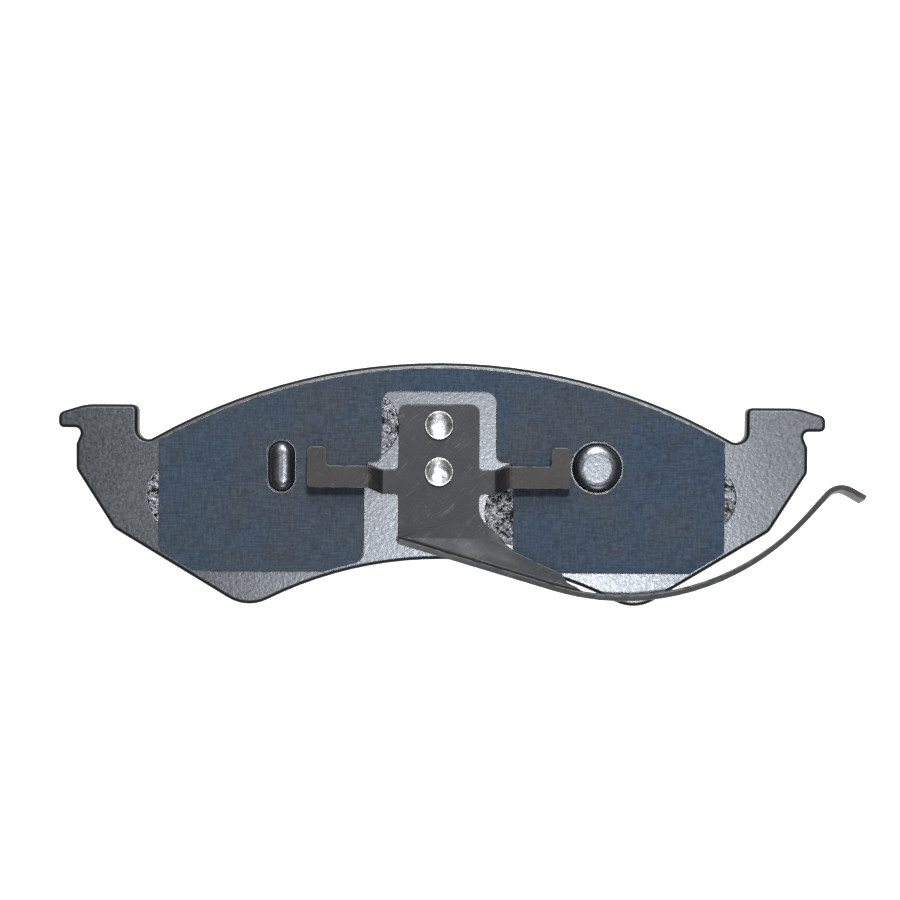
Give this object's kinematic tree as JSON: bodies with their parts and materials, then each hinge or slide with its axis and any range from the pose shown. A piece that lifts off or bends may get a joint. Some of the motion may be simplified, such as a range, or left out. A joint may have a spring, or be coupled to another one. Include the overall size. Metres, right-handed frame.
{
  "type": "brake pad",
  "caption": "Outboard disc brake pad: steel plate with hooked ears, bonded lining, rubber-faced shim and a riveted spring clip with two arms and a long leg.",
  "frame": {"origin": "on the friction face, at the pad's middle along its length and halfway between the crown and the lobe bottoms of the backing plate", "axes": "+X along the pad's length towards the free end of the spring leg, +Y away from the wheel hub towards the crown, +Z out of the back face towards the caliper"},
  "size_m": [0.1993, 0.06, 0.0237],
  "materials": {
    "friction_compound": "semi-metallic moulded compound with a ground face",
    "underlayer_compound": "coarse moulded insulating compound",
    "bond_adhesive": "cured phenolic adhesive",
    "plate_paint": "semi-gloss black powder coat on stamped steel",
    "shim_adhesive": "pressure-sensitive acrylic film",
    "shim_rubber": "slate-blue nitrile coating with a fine cross-hatch",
    "shim_steel": "cold-rolled, bright at the cut edges",
    "clip_steel": "dark oil-blackened spring steel with scratches",
    "rivet_zinc": "bright zinc-plated steel"
  },
  "bodies": {
    "pad": {"friction_block": "friction_compound", "underlayer": "underlayer_compound", "bond_film": "bond_adhesive", "backing_plate": "plate_paint", "shim_adhesive": "shim_adhesive", "shim_inner_rubber": "shim_rubber", "shim_core": "shim_steel", "shim_outer_rubber": "shim_rubber", "clip_plate": "clip_steel", "rivet_upper": "rivet_zinc", "rivet_lower": "rivet_zinc"},
    "left_arm": {"clip_arm_left": "clip_steel"},
    "right_arm": {"clip_arm_right": "clip_steel"},
    "leg": {"clip_leg": "clip_steel"}
  },
  "joints": [
    {"name": "left_arm_flex", "type": "hinge", "parent": "pad", "child": "left_arm", "pos_m": [-0.0159, 0.001, 0.01887], "axis": [0, -1, 0], "range_deg": [0, 8], "stiffness_Nm_per_rad": 14},
    {"name": "right_arm_flex", "type": "hinge", "parent": "pad", "child": "right_arm", "pos_m": [0.0145, 0.001, 0.01887], "axis": [0, 1, 0], "range_deg": [0, 8], "stiffness_Nm_per_rad": 14},
    {"name": "leg_flex", "type": "hinge", "parent": "pad", "child": "leg", "pos_m": [0.03943, -0.02751, 0.021], "axis": [0, 0, 1], "range_deg": [0, 8], "stiffness_Nm_per_rad": 11.2}
  ]
}
